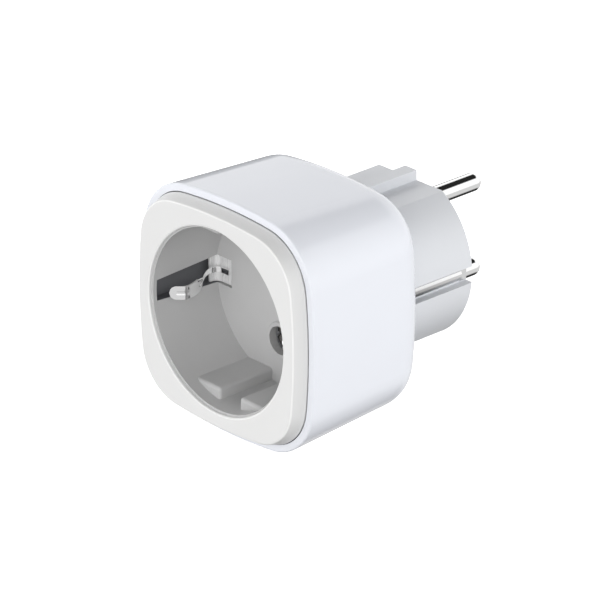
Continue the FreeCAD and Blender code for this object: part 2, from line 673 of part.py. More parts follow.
for label, sg, rev in (("earth_clip_right", "", 1), ("earth_clip_left", "-", -1)):
    b = body(label)
    outer = offset_line(CLIP, T)
    pts = [(sg + "%g" % x, "%g" % y) for x, y in CLIP] + [(sg + "%g" % x, "%g" % y) for x, y in reversed(outer)]
    s = sketch(b, "tongue_profile", "XY_Plane")
    polygon(s, pts)
    f = b.newObject("PartDesign::Pad", "tongue")
    f.Profile = s
    f.Midplane = True
    bind(f, "Length", "clip_wide")
    b.Tip = f
    doc.recompute()
    # the waist between the tongue and the foot
    s = side_sketch(b, "waist_outline", "0")
    for sz in ("", "-"):
        polygon(s, [("9.6", sz + "2.2"), ("11", sz + "clip_neck / 2"), ("15.2", sz + "clip_neck / 2"), ("16.6", sz + "2.2")])
    f = b.newObject("PartDesign::Pocket", "waist")
    f.Profile = s
    f.Midplane = True
    f.Length = 60
    b.Tip = f
    doc.recompute()
    # foot on the floor and the plate that stands against the pocket wall
    s = back_to(b, "foot_outline", "floor_depth + floor_wall - metal")
    polygon(s, [(sg + "slot_reach + %s0.15" % sg, "-(slot_half_back - 0.15)"), (sg + "21.4", "-(slot_half_back - 0.15)"),
                (sg + "21.4", "slot_half_back - 0.15"), (sg + "slot_reach + %s0.15" % sg, "slot_half_back - 0.15")])
    grow(b, "foot", s, "metal")
    s = back_to(b, "plate_outline", "13.5")
    polygon(s, [(sg + "20.2", "-(slot_half_back - 0.35)"), (sg + "20.8", "-(slot_half_back - 0.35)"),
                (sg + "20.8", "slot_half_back - 0.35"), (sg + "20.2", "slot_half_back - 0.35")])
    grow(b, "plate", s, "floor_depth + floor_wall - metal - 13.5 + 0.1")
    node(b, label)

# half ring behind the recess floor that joins the left and right earth metal
b = body("earth_ring")
s = back_to(b, "outline", "floor_depth + floor_wall")
ri, ro = val("ring_in"), val("ring_out")
s.addGeometry([Part.ArcOfCircle(Part.Circle(V(0, 0, 0), V(0, 0, 1), ro), 0, math.pi),
               Part.LineSegment(V(-ro, 0, 0), V(-ro, -1.6, 0)), Part.LineSegment(V(-ro, -1.6, 0), V(-ri, -1.6, 0)),
               Part.LineSegment(V(-ri, -1.6, 0), V(-ri, 0, 0)),
               Part.ArcOfCircle(Part.Circle(V(0, 0, 0), V(0, 0, 1), ri), 0, math.pi),
               Part.LineSegment(V(ri, 0, 0), V(ri, -1.6, 0)), Part.LineSegment(V(ri, -1.6, 0), V(ro, -1.6, 0)),
               Part.LineSegment(V(ro, -1.6, 0), V(ro, 0, 0))], False)
s.addConstraint([C("Coincident", 0, 2, 1, 1), C("Coincident", 1, 2, 2, 1), C("Coincident", 2, 2, 3, 1),
                 C("Coincident", 3, 2, 4, 2), C("Coincident", 4, 1, 5, 1), C("Coincident", 5, 2, 6, 1),
                 C("Coincident", 6, 2, 7, 1), C("Coincident", 7, 2, 0, 1)])
at(s, 0, 3, 0, 0)
at(s, 4, 3, 0, 0)
fix(s, C("Radius", 0, ro), "ring_out")
fix(s, C("Radius", 4, ri), "ring_in")
s.addConstraint([C("PointOnObject", 0, 1, -1), C("PointOnObject", 0, 2, -1),
                 C("PointOnObject", 4, 1, -1), C("PointOnObject", 4, 2, -1),
                 C("Vertical", 1), C("Horizontal", 2), C("Vertical", 5), C("Horizontal", 6)])
for g in (1, 5):
    fix(s, C("DistanceY", g, 2, -1, 1, 1.6), "clip_wide / 2")
grow(b, "ring", s, "metal")
node(b, "earth_ring")

# earth strips: a tab on the ring, a straight run back through the board and
# the housing, and the half-round bar with its flat end tab that lies in the
# plug's side groove
for label, sg in (("earth_strip_right", ""), ("earth_strip_left", "-")):
    b = body(label)
    s = sketch(b, "run_profile", "XY_Plane")
    f0 = "floor_depth + floor_wall + metal"
    polygon(s, [(sg + "ring_in + %s0.1" % sg, f0), (sg + "(strip_bed + strip_wall * 0.5)", f0),
                (sg + "(strip_bed + strip_wall * 0.5)", "shell_back - 0.5"), (sg + "strip_bed", "shell_back - 0.5"),
                (sg + "strip_bed", f0 + " + metal"), (sg + "ring_in + %s0.1" % sg, f0 + " + metal")])
    f = b.newObject("PartDesign::Pad", "run")
    f.Profile = s
    f.Midplane = True
    bind(f, "Length", "2 * strip_half")
    b.Tip = f
    doc.recompute()
    # crowned outer skin along the groove: a flat bed under a low arc
    s = back_to(b, "crown_outline", "shell_back - 1")
    hw, x0, x1 = val("strip_half"), val("strip_bed"), val("strip_bed + strip_wall")
    xe = val("strip_bed + strip_wall * 0.1")
    k = -1 if sg else 1
    rr = ((x1 - xe) ** 2 + hw ** 2) / (2 * (x1 - xe))
    cx = x1 - rr
    a = math.asin(hw / rr)
    if k > 0:
        arc = Part.ArcOfCircle(Part.Circle(V(cx, 0, 0), V(0, 0, 1), rr), -a, a)
        g = [arc, Part.LineSegment(V(xe, hw, 0), V(x0, hw, 0)), Part.LineSegment(V(x0, hw, 0), V(x0, -hw, 0)),
             Part.LineSegment(V(x0, -hw, 0), V(xe, -hw, 0))]
    else:
        arc = Part.ArcOfCircle(Part.Circle(V(-cx, 0, 0), V(0, 0, 1), rr), math.pi - a, math.pi + a)
        g = [arc, Part.LineSegment(V(-xe, -hw, 0), V(-x0, -hw, 0)), Part.LineSegment(V(-x0, -hw, 0), V(-x0, hw, 0)),
             Part.LineSegment(V(-x0, hw, 0), V(-xe, hw, 0))]
    s.addGeometry(g, False)
    s.addConstraint([C("Coincident", 0, 2, 1, 1), C("Coincident", 1, 2, 2, 1), C("Coincident", 2, 2, 3, 1),
                     C("Coincident", 3, 2, 0, 1)])
    up, dn = ("", "-") if k > 0 else ("-", "")
    at(s, 0, 2, sg + "(strip_bed + strip_wall * 0.1)", up + "strip_half")
    at(s, 0, 1, sg + "(strip_bed + strip_wall * 0.1)", dn + "strip_half")
    at(s, 1, 2, sg + "strip_bed", up + "strip_half")
    at(s, 2, 2, sg + "strip_bed", dn + "strip_half")
    fix(s, C("Radius", 0, rr), "((strip_wall * 0.9)^2 + strip_half^2) / (2 * strip_wall * 0.9)")
    grow(b, "crown", s, "strip_end - shell_back + 1")
    s = back_to(b, "end_tab_outline", "strip_end - 0.4")
    polygon(s, [(sg + "strip_bed", "-(strip_half - 0.05)"), (sg + "(strip_bed + strip_wall * 0.5)", "-(strip_half - 0.05)"),
                (sg + "(strip_bed + strip_wall * 0.5)", "strip_half - 0.05"), (sg + "strip_bed", "strip_half - 0.05")])
    grow(b, "end_tab", s, "2.0")
    node(b, label)


# -------------------------------------------------------------- simple shapes
def block(name, x0, y0, z0, x1, y1, z1):
    """A box between two corners, each given as sheet expressions."""
    o = doc.addObject("Part::Box", name)
    bind(o, "Length", "(%s) - (%s)" % (x1, x0))
    bind(o, "Width", "(%s) - (%s)" % (y1, y0))
    bind(o, "Height", "(%s) - (%s)" % (z1, z0))
    bind(o, "Placement.Base.x", x0)
    bind(o, "Placement.Base.y", y0)
    bind(o, "Placement.Base.z", z0)
    return o


def rod(name, r, length, x, y, z, along):
    """A cylinder whose lower end centre is (x, y, z)."""
    o = doc.addObject("Part::Cylinder", name)
    turn = {"x": FreeCAD.Rotation(V(0, 1, 0), 90), "y": FreeCAD.Rotation(V(1, 0, 0), -90), "z": FreeCAD.Rotation()}
    o.Placement = FreeCAD.Placement(V(0, 0, 0), turn[along])
    bind(o, "Radius", r)
    bind(o, "Height", length)
    bind(o, "Placement.Base.x", x)
    bind(o, "Placement.Base.y", y)
    bind(o, "Placement.Base.z", z)
    return o


def fuse(name, *shapes):
    o = doc.addObject("Part::MultiFuse", name)
    o.Shapes = list(shapes)
    return o


def cut(name, base, tool):
    o = doc.addObject("Part::Cut", name)
    o.Base, o.Tool = base, tool
    return o


def rounded(name, base, r, test):
    doc.recompute()
    o = doc.addObject("Part::Fillet", name)
    o.Base = base
    picks = [(i + 1, val(r), val(r)) for i, e in enumerate(base.Shape.Edges)
             if all(test(p) for p in e.discretize(5))]
    if not picks:
        raise RuntimeError(name + ": no edges")
    o.Edges = picks
    return o


def finish(o, label):
    """Groups a finished primitive shape under its node name in the row frame."""
    g = doc.addObject("Part::Compound", label + "_part") if o.TypeId in ("Part::Box", "Part::Cylinder") else o
    if g is not o:
        g.Links = [o]
    return node(g, label)


BF, BB = "board_front", "board_front + board_wall"

# busbars from the pins' tails to the board
for label, sx, sz in (("line_busbar", "", ""), ("neutral_busbar", "-", "-")):
    k = -1 if sx else 1

    def pair(a, c):
        return (a, c) if k > 0 else ("-(%s)" % c, "-(%s)" % a)
    xl, xh = pair("4.4", "5.0")
    zl, zh = pair("8.0", "11.0")
    tl, tht = pair("-1.7", "5.0")
    leg = block(label + "_leg", xl, BB, zl, xh, "45.8", zh)
    top = block(label + "_top", tl, "45.2", zl, tht, "45.8", zh)
    bar = fuse(label + "_bar", leg, top)
    hole = rod(label + "_hole", "pin_tail_rad", "3", 0, "44", sz + "pitch_half", "y")
    node(cut(label + "_cut", bar, hole), label)

# low-ohm shunt that carries the measured current
legs = [block("shunt_leg_%d" % i, x, BB, "11.4", "%s + 1.2" % x, "30.4", "15.2") for i, x in enumerate(("6.2", "13.4"))]
bridge = block("shunt_bridge", "6.2", "29.8", "11.4", "14.6", "30.4", "15.2")
node(fuse("shunt_bar", bridge, *legs), "current_shunt")

# radio module: little board, chip and shield can over it
finish(block("radio_board_box", "6.4", "26.2", "6.0", "17.2", BF, "17.0"), "radio_board")
finish(block("radio_chip_box", "9.3", "25.3", "8.6", "14.3", "26.2", "13.6"), "radio_chip")
can = cut("can_shell", block("can_outer", "7.0", "23.9", "6.6", "16.6", "26.2", "15.6"),
          block("can_inner", "7.2", "24.1", "6.8", "16.4", "26.3", "15.4"))
node(can, "shield_can")

# filter capacitor, surge disc, bulk capacitors, inductor, fusible resistor
film = block("film_box", "-17.2", "20.9", "6.3", "-6.4", BF, "11.0")
film = rounded("film_round", film, "0.5", lambda p: p.y < 21.0 or True)
node(film, "filter_capacitor")
mov = fuse("mov_all", rod("mov_disc", "2.9", "2.6", "-11.0", "23.8", "12.6", "z"),
           block("mov_lead_a", "-13.2", "26.0", "13.6", "-12.7", BF, "14.1"),
           block("mov_lead_b", "-9.3", "26.0", "13.6", "-8.8", BF, "14.1"))
node(mov, "surge_varistor")
caps = doc.addObject("Part::Compound", "bulk_capacitors_part")
caps.Links = [rod("bulk_cap_1", "2.7", "9.2", "-15.6", "24.2", "-8.6", "x"),
              rod("bulk_cap_2", "2.7", "9.2", "-15.6", "24.2", "-14.6", "x")]
node(caps, "bulk_capacitors")
drum = fuse("drum_all", rod("drum_base", "3.4", "0.8", "11.6", "26.2", "-9.4", "y"),
            rod("drum_core", "1.4", "4.0", "11.6", "22.4", "-9.4", "y"),
            rod("drum_top", "3.4", "0.8", "11.6", "21.8", "-9.4", "y"))
node(drum, "power_inductor_core")
wound = cut("wound_cut", rod("wound_out", "3.0", "3.4", "11.6", "22.7", "-9.4", "y"),
            rod("wound_in", "1.5", "3.8", "11.6", "22.5", "-9.4", "y"))
node(wound, "power_inductor_winding")
res = fuse("res_all", rod("res_barrel", "1.4", "7.0", "7.6", "25.4", "-15.2", "x"),
           block("res_lead_a", "6.9", "25.15", "-15.45", "7.7", BF, "-14.95"),
           block("res_lead_b", "14.5", "25.15", "-15.45", "15.3", BF, "-14.95"))
node(res, "fusible_resistor")
finish(block("meter_chip_box", "-14.6", BB, "8.6", "-9.6", "30.1", "12.4"), "metering_chip")
finish(block("conv_chip_box", "-14.6", BB, "-12.4", "-9.6", "30.1", "-8.6"), "converter_chip")

# ---------------------------------------------------------------------- relay
RX, RZ = "relay_long / 2", "relay_wide / 2"
base = block("relay_base_box", "-" + RX, BB, "-" + RZ, RX, BB + " + 1.5", RZ)
finish(base, "relay_base")
case = cut("relay_case_cut",
           block("case_outer", "-" + RX, BB + " + 1.5", "-" + RZ, RX, BB + " + relay_tall", RZ),
           block("case_inner", "-%s + relay_wall" % RX, BB + " + 1", "-%s + relay_wall" % RZ,
                 RX + " - relay_wall", BB + " + relay_tall - relay_wall", RZ + " - relay_wall"))
node(case, "relay_case")
yoke = fuse("yoke_all", rod("yoke_core", "1.2", "10.3", "-7.6", "35.0", "0", "x"),
            block("yoke_back", "-8.2", BB + " + 1.5", "-2.4", "-7.4", "39.6", "2.4"),
            block("yoke_top", "-8.2", "38.8", "-2.4", "2.7", "39.6", "2.4"))
node(yoke, "relay_yoke")
coil = cut("coil_cut", rod("coil_out", "3.1", "9.2", "-7.1", "35.0", "0", "x"),
           rod("coil_in", "1.35", "9.8", "-7.4", "35.0", "0", "x"))
node(coil, "relay_coil")
arm = fuse("arm_all", block("arm_plate", "3.1", "32.2", "-2.4", "3.9", "39.3", "2.4"),
           block("arm_blade", "3.9", "31.0", "-1.5", "4.2", "37.8", "1.5"),
           rod("arm_contact", "0.6", "0.7", "3.3", "31.5", "0", "x"),
           rod("arm_edge", "0.35", "4.8", "3.1", "39.2", "-2.4", "z"))
node(arm, "relay_armature")
fixed = fuse("fixed_all", block("fixed_blade", "1.7", BB + " + 1.5", "-1.5", "2.1", "31.75", "1.5"),
             rod("fixed_contact", "0.6", "0.6", "2.0", "31.1", "0", "x"))
node(fixed, "relay_fixed_contact")

# ----------------------------------------------- button, switch and indicator
swb = cut("switch_cut", block("switch_box", "-20.9", "21.6", "-3", "-18.0", BF, "3"),
          rod("switch_bore", "1.25", "1.3", "-21", "button_depth", "0", "x"))
node(swb, "switch_body")
finish(rod("plunger_rod", "1.1", "1.3", "-21.65", "button_depth", "0", "x"), "switch_plunger")
b = body("button_cap")
s = side_sketch(b, "cap_outline", "-21.65")
obround(s, "button_depth", 0, "button_long - 2 * button_gap", "button_wide - 2 * button_gap")
f = b.newObject("PartDesign::Pad", "cap")
f.Profile = s
f.Length = 3.1
f.Reversed = True
b.Tip = f
doc.recompute()
s = side_sketch(b, "flange_outline", "-21.65")
obround(s, "button_depth", 0, "button_long + 1.2", "button_wide + 1.2")
f = b.newObject("PartDesign::Pad", "flange")
f.Profile = s
f.Length = 0.5
f.Reversed = True
b.Tip = f
doc.recompute()
XO = min(v.X for v in b.Shape.Vertexes)
soften(b, "cap_edge", lambda p: near(p.x, XO), "0.5")
node(b, "button_cap")
finish(block("led_box", "-19.2", "22.2", "led_z - 1", "-18.2", BF, "led_z + 1"), "status_led")
pipe = fuse("pipe_all", rod("pipe_rod", "pipe_rad", "4.75", "-24.05", "button_depth", "led_z", "x"),
            rod("pipe_collar", "pipe_rad + 0.6", "0.6", "-21.9", "button_depth", "led_z", "x"))
node(pipe, "light_pipe")

# ------------------------------------------------------------ housing screws
screws = doc.addObject("Part::Compound", "housing_screws_part")
made = []
for i, sx in enumerate(("", "-")):
    y1 = "body_depth - head_sink"
    sh = rod("screw_shank_%d" % i, "screw_rad", "%s - screw_tip" % y1, sx + "screw_x", "screw_tip", "0", "y")
    hd = rod("screw_head_%d" % i, "screw_head_rad", "head_len", sx + "screw_x", y1, "0", "y")
    both = fuse("screw_%d" % i, sh, hd)
    d1 = block("drive_a_%d" % i, sx + "screw_x - 1.5", y1 + " + 0.8", "-0.25", sx + "screw_x + 1.5", y1 + " + head_len + 0.2", "0.25")
    d2 = block("drive_b_%d" % i, sx + "screw_x - 0.25", y1 + " + 0.8", "-1.5", sx + "screw_x + 0.25", y1 + " + head_len + 0.2", "1.5")
    made.append(cut("screw_cut_%d" % i, both, fuse("drive_%d" % i, d1, d2)))
screws.Links = made
node(screws, "housing_screws")

doc.recompute()

# ------------------------------------------------------------ check and write
bad = []
for o in doc.Objects:
    if any(k in ("Invalid", "Error") for k in o.State):
        bad.append("%s: %s" % (o.Name, o.State))
for o, label in NODES:
    if o.Shape.isNull() or not o.Shape.isValid() or not o.Shape.Solids:
        bad.append("%s: shape" % label)
if bad:
    raise RuntimeError("; ".join(bad))
os.makedirs("parts", exist_ok=True)
for o, label in NODES:
    o.Shape.exportStep("parts/%s.step" % label)
    bb = o.Shape.optimalBoundingBox(False) if hasattr(o.Shape, "optimalBoundingBox") else o.Shape.BoundBox
    print("%-24s solids %d  vol %9.2f  x %.2f %.2f  y %.2f %.2f  z %.2f %.2f" % (
        label, len(o.Shape.Solids), o.Shape.Volume, bb.XMin, bb.XMax, bb.YMin, bb.YMax, bb.ZMin, bb.ZMax))
print(len(NODES), "sub-parts written")
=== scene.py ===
import json
import math

import bmesh
import bpy
from mathutils import Matrix, Vector


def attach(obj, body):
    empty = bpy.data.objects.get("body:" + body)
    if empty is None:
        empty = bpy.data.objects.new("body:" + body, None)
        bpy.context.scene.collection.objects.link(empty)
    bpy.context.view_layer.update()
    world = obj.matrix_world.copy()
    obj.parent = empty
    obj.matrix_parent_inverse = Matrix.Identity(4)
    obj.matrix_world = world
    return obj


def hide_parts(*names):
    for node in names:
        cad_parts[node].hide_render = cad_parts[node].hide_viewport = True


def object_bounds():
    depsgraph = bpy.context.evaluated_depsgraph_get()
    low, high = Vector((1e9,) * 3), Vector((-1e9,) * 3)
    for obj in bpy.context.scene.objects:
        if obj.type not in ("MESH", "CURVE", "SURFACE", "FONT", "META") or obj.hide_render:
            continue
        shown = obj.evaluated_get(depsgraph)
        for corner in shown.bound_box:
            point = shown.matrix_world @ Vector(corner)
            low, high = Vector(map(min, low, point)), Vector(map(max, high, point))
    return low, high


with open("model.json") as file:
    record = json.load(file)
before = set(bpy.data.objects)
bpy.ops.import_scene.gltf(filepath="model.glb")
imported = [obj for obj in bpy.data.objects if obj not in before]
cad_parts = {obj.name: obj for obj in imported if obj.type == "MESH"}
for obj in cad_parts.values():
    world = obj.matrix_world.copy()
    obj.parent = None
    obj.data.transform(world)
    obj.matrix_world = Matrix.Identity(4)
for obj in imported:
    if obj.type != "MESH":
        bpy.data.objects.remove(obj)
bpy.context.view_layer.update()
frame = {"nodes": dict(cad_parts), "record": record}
NODES = frame["nodes"]
MM = 0.001
scene = bpy.context.scene
scene.view_settings.view_transform = "Standard"
scene.view_settings.look = "None"

# ------------------------------------------------------------------ camera
RIGHT = Vector((0.6780951418, 0.7349689976, -0.0027479509))
UP = Vector((-0.3024456901, 0.2824453442, 0.9103577495))
BACK = Vector((0.6698608685, -0.6164780614, 0.4138130214))
cam_data = bpy.data.cameras.new("camera")
cam_data.sensor_width = 36.0
cam_data.lens = 317.564
cam_data.shift_x = -0.5 / 600
cam_data.shift_y = 0.5 / 600
cam_data.clip_start = 0.02
cam_data.clip_end = 60.0
cam = bpy.data.objects.new("camera", cam_data)
scene.collection.objects.link(cam)
rot = Matrix((RIGHT, UP, BACK)).transposed().to_4x4()
cam.matrix_world = Matrix.Translation(Vector((0.71354760, -0.68732945, 0.43842174))) @ rot
scene.camera = cam


# ------------------------------------------------------------------ node helpers
class Tree:
    """A small helper that adds nodes to one material and wires them."""

    def __init__(self, name):
        self.mat = bpy.data.materials.new(name)
        self.mat.use_nodes = True
        self.t = self.mat.node_tree
        self.t.nodes.clear()
        self.out = self.t.nodes.new("ShaderNodeOutputMaterial")
        self.b = self.t.nodes.new("ShaderNodeBsdfPrincipled")
        self.link(self.b.outputs["BSDF"], self.out.inputs["Surface"])
        self.co = self.t.nodes.new("ShaderNodeTexCoord").outputs["Object"]

    def link(self, a, b):
        self.t.links.new(a, b)

    def set(self, **values):
        for k, v in values.items():
            self.b.inputs[k.replace("_", " ")].default_value = v

    def noise(self, scale, detail=2.0, rough=0.5, stretch=None, co=None):
        co = co or self.co
        if stretch:
            m = self.t.nodes.new("ShaderNodeMapping")
            m.inputs["Scale"].default_value = stretch
            self.link(co, m.inputs["Vector"])
            co = m.outputs["Vector"]
        n = self.t.nodes.new("ShaderNodeTexNoise")
        n.inputs["Scale"].default_value = scale
        n.inputs["Detail"].default_value = detail
        n.inputs["Roughness"].default_value = rough
        self.link(co, n.inputs["Vector"])
        return n.outputs["Fac"]

    def voronoi(self, scale, feature="F1", co=None):
        n = self.t.nodes.new("ShaderNodeTexVoronoi")
        n.feature = feature
        n.inputs["Scale"].default_value = scale
        self.link(co or self.co, n.inputs["Vector"])
        return n.outputs["Distance"]

    def span(self, fac, lo, hi, a=0.3, b=0.7):
        n = self.t.nodes.new("ShaderNodeMapRange")
        n.inputs["From Min"].default_value = a
        n.inputs["From Max"].default_value = b
        n.inputs["To Min"].default_value = lo
        n.inputs["To Max"].default_value = hi
        self.link(fac, n.inputs["Value"])
        return n.outputs["Result"]

    def ramp(self, fac, stops, mode="LINEAR"):
        n = self.t.nodes.new("ShaderNodeValToRGB")
        n.color_ramp.interpolation = mode
        e = n.color_ramp.elements
        while len(e) > 1:
            e.remove(e[-1])
        e[0].position, e[0].color = stops[0][0], tuple(stops[0][1]) + (1.0,)
        for p, c in stops[1:]:
            s = e.new(p)
            s.color = tuple(c) + (1.0,)
        self.link(fac, n.inputs["Fac"])
        return n.outputs["Color"]

    def math(self, op, a, b=None, c=None):
        n = self.t.nodes.new("ShaderNodeMath")
        n.operation = op
        for i, v in enumerate((a, b, c)):
            if v is None:
                continue
            if isinstance(v, (int, float)):
                n.inputs[i].default_value = v
            else:
                self.link(v, n.inputs[i])
        return n.outputs[0]

    def bump(self, height, distance, strength=1.0, normal=None):
        n = self.t.nodes.new("ShaderNodeBump")
        n.inputs["Distance"].default_value = distance
        n.inputs["Strength"].default_value = strength
        self.link(height, n.inputs["Height"])
        if normal is not None:
            self.link(normal, n.inputs["Normal"])
        return n.outputs["Normal"]

    def xyz(self):
        n = self.t.nodes.new("ShaderNodeSeparateXYZ")
        self.link(self.co, n.inputs[0])
        return n.outputs

    def mix(self, fac, a, b):
        """Colour a where fac is 0 and colour b where it is 1."""
        n = self.t.nodes.new("ShaderNodeMix")
        n.data_type = "RGBA"
        self.link(fac, n.inputs[0])
        for sock, v in ((n.inputs[6], a), (n.inputs[7], b)):
            if isinstance(v, tuple):
                sock.default_value = v + (1.0,)
            else:
                self.link(v, sock)
        return n.outputs[2]


def shade(c, k):
    return tuple(min(1.0, v * k) for v in c)


def plastic(name, colour, rough, spread=0.03, tint=0.02, grain=9000.0, depth=4e-6, strength=0.35,
            spec=0.5, coat=0.0, wave=0.0, painted_slot_shade=None, painted_edge_light=None):
    """Moulded plastic: a faint cloudiness in the colour, a roughness that
    wanders a little, a fine tool texture, and a long soft waviness where the
    surface is glossy."""
    t = Tree(name)
    cloud = t.noise(90.0, 4.0, 0.55)
    col = t.ramp(cloud, [(0.3, shade(colour, 1 - tint)), (0.7, shade(colour, 1 + tint * 0.5))])
    if painted_slot_shade:
        # painted shade: faces beyond the recess wall, in the earth slot pockets, get a dark colour in place of the
        # shade inside them
        radius, y_from, dark = painted_slot_shade
        c = t.xyz()
        r = t.math("SQRT", t.math("ADD", t.math("MULTIPLY", c[0], c[0]), t.math("MULTIPLY", c[2], c[2])))
        painted_dark_mask = t.math("MULTIPLY", t.span(r, 0.0, 1.0, radius, radius + 0.00012),
                      t.span(c[1], 0.0, 1.0, y_from, y_from + 0.0003))
        col = t.mix(painted_dark_mask, col, dark)
    if painted_edge_light:
        # painted shade and highlight: by surface direction, the flared side is painted darker than the face and the
        # rounded edge between them is painted lighter, in place of the light falling on them
        side, painted_highlight_gain = painted_edge_light
        parts = t.t.nodes.new("ShaderNodeSeparateXYZ")
        t.link(t.t.nodes.new("ShaderNodeTexCoord").outputs["Normal"], parts.inputs[0])
        facing = t.math("ABSOLUTE", parts.outputs["Y"])
        col = t.mix(t.span(facing, 1.0, 0.0, 0.45, 0.60), col, shade(colour, side))
        lit = t.math("MULTIPLY", t.span(facing, 0.0, 1.0, 0.42, 0.60), t.span(facing, 1.0, 0.0, 0.90, 0.985))
        col = t.mix(lit, col, shade(colour, painted_highlight_gain))
    t.link(col, t.b.inputs["Base Color"])
    t.link(t.span(t.noise(260.0, 5.0, 0.6), rough - spread, rough + spread), t.b.inputs["Roughness"])
    n = t.bump(t.noise(grain, 3.0, 0.6), depth, strength)
    if wave:
        n = t.bump(t.noise(160.0, 1.0, 0.4), wave, 0.6, n)
    t.link(n, t.b.inputs["Normal"])
    t.b.inputs["Specular IOR Level"].default_value = spec
    if coat:
        t.b.inputs["Coat Weight"].default_value = coat
        t.b.inputs["Coat Roughness"].default_value = 0.06
    return t.mat


def metal(name, colour, rough, spread=0.05, stretch=(1.0, 1.0, 1.0), scale=900.0, depth=3e-6, strength=0.25,
          stain=0.10, painted_dark_underside=None, metallic=1.0):
    """Bare or plated metal with faint drawing lines and a slightly uneven tone."""
    t = Tree(name)
    t.b.inputs["Metallic"].default_value = metallic
    lines = t.noise(scale, 4.0, 0.6, stretch)
    col = t.ramp(t.noise(220.0, 4.0, 0.6), [(0.28, shade(colour, 1 - stain)), (0.72, colour)])
    if painted_dark_underside:
        # painted dark reflection on the underside, strongest at the shell end and fading out along the plug
        c = t.xyz()
        painted_dark_mask = t.math("MULTIPLY", t.span(c[2], 1.0, 0.0, -0.0007, 0.0011), t.span(c[1], 1.0, 0.0, -0.0170, -0.0025))
        col = t.mix(painted_dark_mask, col, painted_dark_underside)
    t.link(col, t.b.inputs["Base Color"])
    t.link(t.span(lines, max(0.02, rough - spread), rough + spread), t.b.inputs["Roughness"])
    t.link(t.bump(lines, depth, strength), t.b.inputs["Normal"])
    return t.mat


MATS = {
    "shell_gloss": plastic("shell_gloss", (0.90, 0.92, 0.975), 0.10, spread=0.02, tint=0.006, grain=5200.0,
                           depth=1.0e-6, strength=0.15, spec=0.5, wave=4e-6),
    "cover_satin": plastic("cover_satin", (0.87, 0.87, 0.865), 0.40, spread=0.05, tint=0.012, grain=11000.0, depth=5e-6,
                           painted_edge_light=(0.94, 1.13)),
    "recess_grey": plastic("recess_grey", (0.59, 0.59, 0.59), 0.42, spread=0.06, tint=0.02, grain=10000.0, depth=6e-6,
                           painted_slot_shade=(0.01958, -0.0519, (0.15, 0.153, 0.165))),
    "plug_grey": plastic("plug_grey", (0.775, 0.79, 0.82), 0.36, spread=0.05, tint=0.015, grain=9500.0, depth=6e-6),
    "button_white": plastic("button_white", (0.84, 0.86, 0.90), 0.30, grain=9000.0),
    "light_pipe_clear": plastic("light_pipe_clear", (0.80, 0.84, 0.86), 0.22, grain=7000.0),
    "nickel": metal("nickel", (0.93, 0.93, 0.925), 0.07, spread=0.02, stain=0.04, stretch=(1.0, 0.05, 1.0), scale=5200.0),
    "earth_steel": metal("earth_steel", (0.93, 0.93, 0.93), 0.08, spread=0.03, stain=0.05, stretch=(1.0, 1.0, 0.08), scale=5200.0),
    "strip_steel": metal("strip_steel", (0.90, 0.90, 0.90), 0.10, spread=0.03, stain=0.05, stretch=(1.0, 0.05, 1.0),
                         scale=5200.0, painted_dark_underside=(0.13, 0.13, 0.13)),
    "contact_brass": metal("contact_brass", (0.50, 0.49, 0.47), 0.30, stretch=(1.0, 0.1, 1.0), scale=4200.0),
    "busbar_brass": metal("busbar_brass", (0.80, 0.60, 0.32), 0.30, scale=3000.0),
    "shunt_alloy": metal("shunt_alloy", (0.62, 0.45, 0.30), 0.42, scale=3000.0),
    "board_green": plastic("board_green", (0.05, 0.24, 0.12), 0.35, tint=0.12, grain=4000.0, depth=8e-6),
    "chip_black": plastic("chip_black", (0.035, 0.035, 0.038), 0.55, tint=0.15),
    "can_tin": metal("can_tin", (0.72, 0.72, 0.70), 0.34, scale=2500.0),
    "film_yellow": plastic("film_yellow", (0.80, 0.62, 0.14), 0.40, tint=0.06),
    "varistor_blue": plastic("varistor_blue", (0.09, 0.20, 0.52), 0.38, tint=0.08, grain=2500.0, depth=2e-5),
    "cap_sleeve": plastic("cap_sleeve", (0.05, 0.05, 0.08), 0.25, tint=0.1),
    "ferrite": plastic("ferrite", (0.09, 0.09, 0.10), 0.65, tint=0.15, grain=6000.0, depth=1e-5),
    "copper_wire": metal("copper_wire", (0.72, 0.38, 0.20), 0.35, stretch=(1.0, 1.0, 1.0), scale=6000.0, depth=2e-5, strength=0.8),
    "resistor_body": plastic("resistor_body", (0.18, 0.42, 0.30), 0.45, tint=0.08),
    "relay_plastic": plastic("relay_plastic", (0.07, 0.09, 0.15), 0.42, tint=0.1),
    "relay_iron": metal("relay_iron", (0.60, 0.60, 0.60), 0.38, scale=3000.0),
    "switch_black": plastic("switch_black", (0.045, 0.045, 0.048), 0.5, tint=0.15),
    "led_body": plastic("led_body", (0.88, 0.85, 0.62), 0.3, tint=0.04),
    "screw_steel": metal("screw_steel", (0.62, 0.62, 0.62), 0.33, scale=3500.0),
}
SLOT = {r["node"]: r["material_slot"] for r in frame["record"]["subparts"]}
for n, o in NODES.items():
    o.data.materials.clear()
    o.data.materials.append(MATS["strip_steel" if n.startswith("earth_strip") else SLOT[n]])

# ------------------------------------------------------------------ earth clips
DEPTH0 = -0.0538        # y of the front face


def smooth_path(ctrl, step):
    """Points about `step` apart on a rounded line through the control points."""
    P = [Vector((a, b)) for a, b in ctrl]
    P = [P[0] * 2 - P[1]] + P + [P[-1] * 2 - P[-2]]
    out = []
    for i in range(1, len(P) - 2):
        p0, p1, p2, p3 = P[i - 1:i + 3]
        n = max(2, int(round((p2 - p1).length / step)))
        for k in range(n):
            t = k / n
            out.append(0.5 * ((2 * p1) + (p2 - p0) * t + (2 * p0 - 5 * p1 + 4 * p2 - p3) * t * t
                              + (3 * p1 - p0 - 3 * p2 + p3) * t ** 3))
    out.append(P[-2])
    return out


